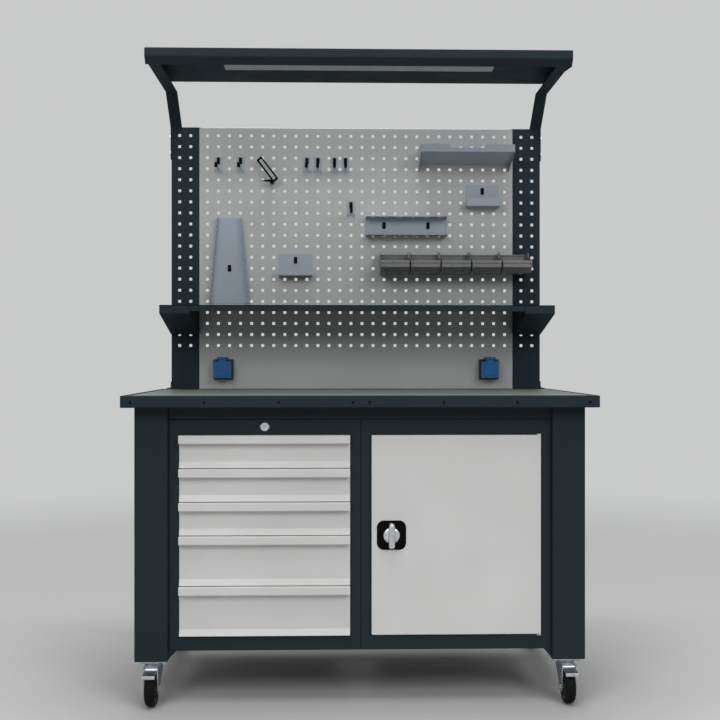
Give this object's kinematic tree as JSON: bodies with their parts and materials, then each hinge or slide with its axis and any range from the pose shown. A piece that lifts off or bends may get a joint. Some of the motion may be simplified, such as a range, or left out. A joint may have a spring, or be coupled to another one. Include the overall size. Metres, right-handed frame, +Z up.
{
  "type": "metal workbench",
  "caption": "Rolling metal workbench with drawers and a door cabinet under a trimmed worktop, and a perforated tool panel, shelf and lamp canopy above it.",
  "frame": {"origin": "on the floor under the middle of the worktop", "axes": "+X to the right as seen from the front, +Y to the back, +Z up"},
  "size_m": [1.35, 0.7, 1.918],
  "materials": {
    "anthracite_paint": "satin powder coat",
    "grey_paint": "satin powder coat",
    "panel_paint": "satin powder coat",
    "worktop_grey": "matt covering sheet",
    "board_wood": "plain",
    "zinc": "zinc plated",
    "chrome": "polished",
    "rack_steel": "grey enamel",
    "black_plastic": "fine grain",
    "dark_plastic": "fine grain",
    "blue_plastic": "moulded",
    "bin_plastic": "moulded",
    "tyre": "solid rubber",
    "lamp_white": "opal"
  },
  "bodies": {
    "frame": {"edge_trim": "anthracite_paint", "legs_front": "anthracite_paint", "legs_rear": "anthracite_paint", "side_rails": "anthracite_paint", "front_apron": "anthracite_paint", "rear_beams": "anthracite_paint", "corner_gussets": "anthracite_paint", "drawer_cabinet": "anthracite_paint", "door_cabinet": "anthracite_paint", "upright_left": "anthracite_paint", "upright_right": "anthracite_paint", "upright_feet": "anthracite_paint", "shelf": "anthracite_paint", "shelf_brackets": "anthracite_paint", "canopy": "anthracite_paint", "canopy_arms": "anthracite_paint", "cabinet_shelf": "grey_paint", "tool_panel": "panel_paint", "socket_panel": "panel_paint", "worktop_sheet": "worktop_grey", "worktop_board": "board_wood", "drawer_runners": "zinc", "door_hinges": "zinc", "castor_plates": "zinc", "castor_bolts": "zinc", "hooks": "zinc", "drawer_lock_body": "chrome", "tray": "rack_steel", "hole_rack": "rack_steel", "bit_racks": "rack_steel", "notched_rack": "rack_steel", "bin_rail": "rack_steel", "hook_caps": "black_plastic", "fork_holder": "black_plastic", "socket_bodies": "dark_plastic", "bins": "bin_plastic", "lamp_housing": "lamp_white", "lamp_diffuser": "lamp_white"},
    "drawer_1": {"drawer_1": "grey_paint"},
    "drawer_2": {"drawer_2": "grey_paint"},
    "drawer_3": {"drawer_3": "grey_paint"},
    "drawer_4": {"drawer_4": "grey_paint"},
    "drawer_5": {"drawer_5": "grey_paint"},
    "door": {"door_panel": "grey_paint", "door_handle_plate": "black_plastic"},
    "handle": {"door_handle": "chrome", "door_latch": "zinc"},
    "lock_plug": {"drawer_lock_plug": "chrome"},
    "lid_left": {"socket_lid_left": "blue_plastic"},
    "lid_right": {"socket_lid_right": "blue_plastic"},
    "pedal_left": {"brake_pedal_left": "zinc"},
    "pedal_right": {"brake_pedal_right": "zinc"},
    "fork_front_left": {"castor_fork_front_left": "zinc"},
    "wheel_front_left": {"castor_wheel_front_left": "tyre"},
    "fork_front_right": {"castor_fork_front_right": "zinc"},
    "wheel_front_right": {"castor_wheel_front_right": "tyre"},
    "fork_rear_left": {"castor_fork_rear_left": "zinc"},
    "wheel_rear_left": {"castor_wheel_rear_left": "tyre"},
    "fork_rear_right": {"castor_fork_rear_right": "zinc"},
    "wheel_rear_right": {"castor_wheel_rear_right": "tyre"}
  },
  "joints": [
    {"name": "drawer_1_slide", "type": "slide", "parent": "frame", "child": "drawer_1", "axis": [0, -1, 0], "range_m": [0, 0.4]},
    {"name": "drawer_2_slide", "type": "slide", "parent": "frame", "child": "drawer_2", "axis": [0, -1, 0], "range_m": [0, 0.4]},
    {"name": "drawer_3_slide", "type": "slide", "parent": "frame", "child": "drawer_3", "axis": [0, -1, 0], "range_m": [0, 0.4]},
    {"name": "drawer_4_slide", "type": "slide", "parent": "frame", "child": "drawer_4", "axis": [0, -1, 0], "range_m": [0, 0.4]},
    {"name": "drawer_5_slide", "type": "slide", "parent": "frame", "child": "drawer_5", "axis": [0, -1, 0], "range_m": [0, 0.4]},
    {"name": "door_hinge", "type": "hinge", "parent": "frame", "child": "door", "pos_m": [0.515, -0.288, 0.486], "axis": [0, 0, 1], "range_deg": [0, 105]},
    {"name": "handle_turn", "type": "hinge", "parent": "door", "child": "handle", "pos_m": [0.088, -0.3, 0.486], "axis": [0, -1, 0], "range_deg": [0, 90]},
    {"name": "lock_turn", "type": "hinge", "parent": "frame", "child": "lock_plug", "pos_m": [-0.275, -0.288, 0.797], "axis": [0, -1, 0], "range_deg": [0, 90]},
    {"name": "lid_left_hinge", "type": "hinge", "parent": "frame", "child": "lid_left", "pos_m": [-0.457, 0.274, 0.992], "axis": [-1, 0, 0], "range_deg": [0, 100], "stiffness_Nm_per_rad": 0.02, "springref_deg": -17.19},
    {"name": "lid_right_hinge", "type": "hinge", "parent": "frame", "child": "lid_right", "pos_m": [0.457, 0.274, 0.992], "axis": [-1, 0, 0], "range_deg": [0, 100], "stiffness_Nm_per_rad": 0.02, "springref_deg": -17.19},
    {"name": "castor_swivel_front_left", "type": "hinge", "parent": "frame", "child": "fork_front_left", "pos_m": [-0.5975, -0.25, 0.12], "axis": [0, 0, 1], "continuous": true},
    {"name": "wheel_spin_front_left", "type": "hinge", "parent": "fork_front_left", "child": "wheel_front_left", "pos_m": [-0.5975, -0.286, 0.05], "axis": [1, 0, 0], "continuous": true},
    {"name": "castor_swivel_front_right", "type": "hinge", "parent": "frame", "child": "fork_front_right", "pos_m": [0.5975, -0.25, 0.12], "axis": [0, 0, 1], "continuous": true},
    {"name": "wheel_spin_front_right", "type": "hinge", "parent": "fork_front_right", "child": "wheel_front_right", "pos_m": [0.5975, -0.286, 0.05], "axis": [1, 0, 0], "continuous": true},
    {"name": "castor_swivel_rear_left", "type": "hinge", "parent": "frame", "child": "fork_rear_left", "pos_m": [-0.5975, 0.25, 0.12], "axis": [0, 0, 1], "continuous": true},
    {"name": "wheel_spin_rear_left", "type": "hinge", "parent": "fork_rear_left", "child": "wheel_rear_left", "pos_m": [-0.5975, 0.286, 0.05], "axis": [1, 0, 0], "continuous": true},
    {"name": "castor_swivel_rear_right", "type": "hinge", "parent": "frame", "child": "fork_rear_right", "pos_m": [0.5975, 0.25, 0.12], "axis": [0, 0, 1], "continuous": true},
    {"name": "wheel_spin_rear_right", "type": "hinge", "parent": "fork_rear_right", "child": "wheel_rear_right", "pos_m": [0.5975, 0.286, 0.05], "axis": [1, 0, 0], "continuous": true},
    {"name": "pedal_left_tip", "type": "hinge", "parent": "fork_front_left", "child": "pedal_left", "pos_m": [-0.5975, -0.296, 0.106], "axis": [1, 0, 0], "range_deg": [0, 15]},
    {"name": "pedal_right_tip", "type": "hinge", "parent": "fork_front_right", "child": "pedal_right", "pos_m": [0.5975, -0.296, 0.106], "axis": [1, 0, 0], "range_deg": [0, 15]}
  ]
}
